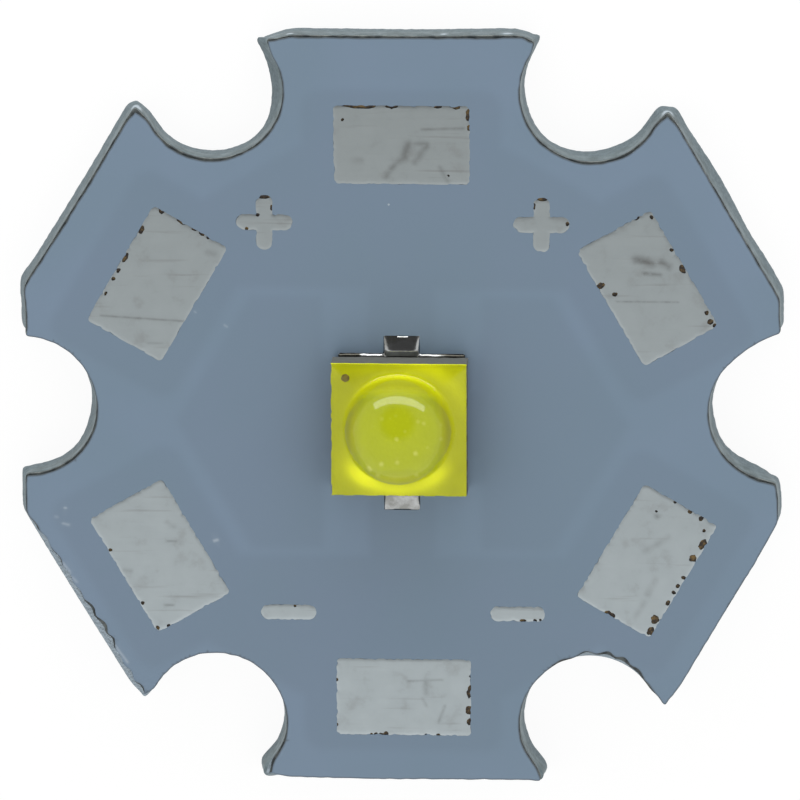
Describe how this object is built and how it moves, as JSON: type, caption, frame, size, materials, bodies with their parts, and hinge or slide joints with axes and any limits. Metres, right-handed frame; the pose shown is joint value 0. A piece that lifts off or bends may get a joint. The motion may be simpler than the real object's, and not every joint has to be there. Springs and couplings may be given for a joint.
{
  "type": "star pcb power led",
  "caption": "Star-shaped aluminium-core circuit board with screw notches, tinned wire pads and polarity marks, carrying a ceramic power LED with yellow phosphor and a clear dome.",
  "frame": {"origin": "centre of the underside of the star", "axes": "+Z out of the LED, +Y towards the plus marks, +X to the right"},
  "size_m": [0.0202, 0.0204, 0.0034],
  "materials": {
    "aluminium": "punched plate, satin faces, torn edge",
    "dielectric": "filled epoxy, matt, seen only at the edge",
    "copper": "etched copper foil, covered by mask or tin",
    "solder_mask": "blue-grey satin ink, copper areas show faintly",
    "tin": "hot-air levelled tin, satin, small brown spots at the edges",
    "solder": "reflowed solder, bright",
    "gold_plating": "plated metal lands, hidden",
    "ceramic": "grey-white fired substrate, matt",
    "chip": "polished semiconductor, hidden under the phosphor",
    "phosphor": "yellow phosphor in silicone, fine grain",
    "dot_ink": "brown-grey printed dot",
    "silicone": "clear moulded silicone, glossy"
  },
  "bodies": {
    "root": {"aluminium_base": "aluminium", "dielectric_layer": "dielectric", "copper_positive": "copper", "copper_negative": "copper", "copper_thermal": "copper", "led_vias": "copper", "solder_mask": "solder_mask", "pad_tin_top": "tin", "pad_tin_upper_left": "tin", "pad_tin_lower_left": "tin", "pad_tin_bottom": "tin", "pad_tin_lower_right": "tin", "pad_tin_upper_right": "tin", "plus_mark_left": "tin", "plus_mark_right": "tin", "minus_mark_left": "tin", "minus_mark_right": "tin", "solder_positive": "solder", "solder_negative": "solder", "solder_thermal": "solder", "led_land_positive": "gold_plating", "led_land_negative": "gold_plating", "led_land_thermal": "gold_plating", "die_metal_positive": "gold_plating", "die_metal_negative": "gold_plating", "led_ceramic": "ceramic", "led_chip": "chip", "led_phosphor": "phosphor", "led_corner_dot": "dot_ink", "led_dome": "silicone"}
  },
  "joints": []
}
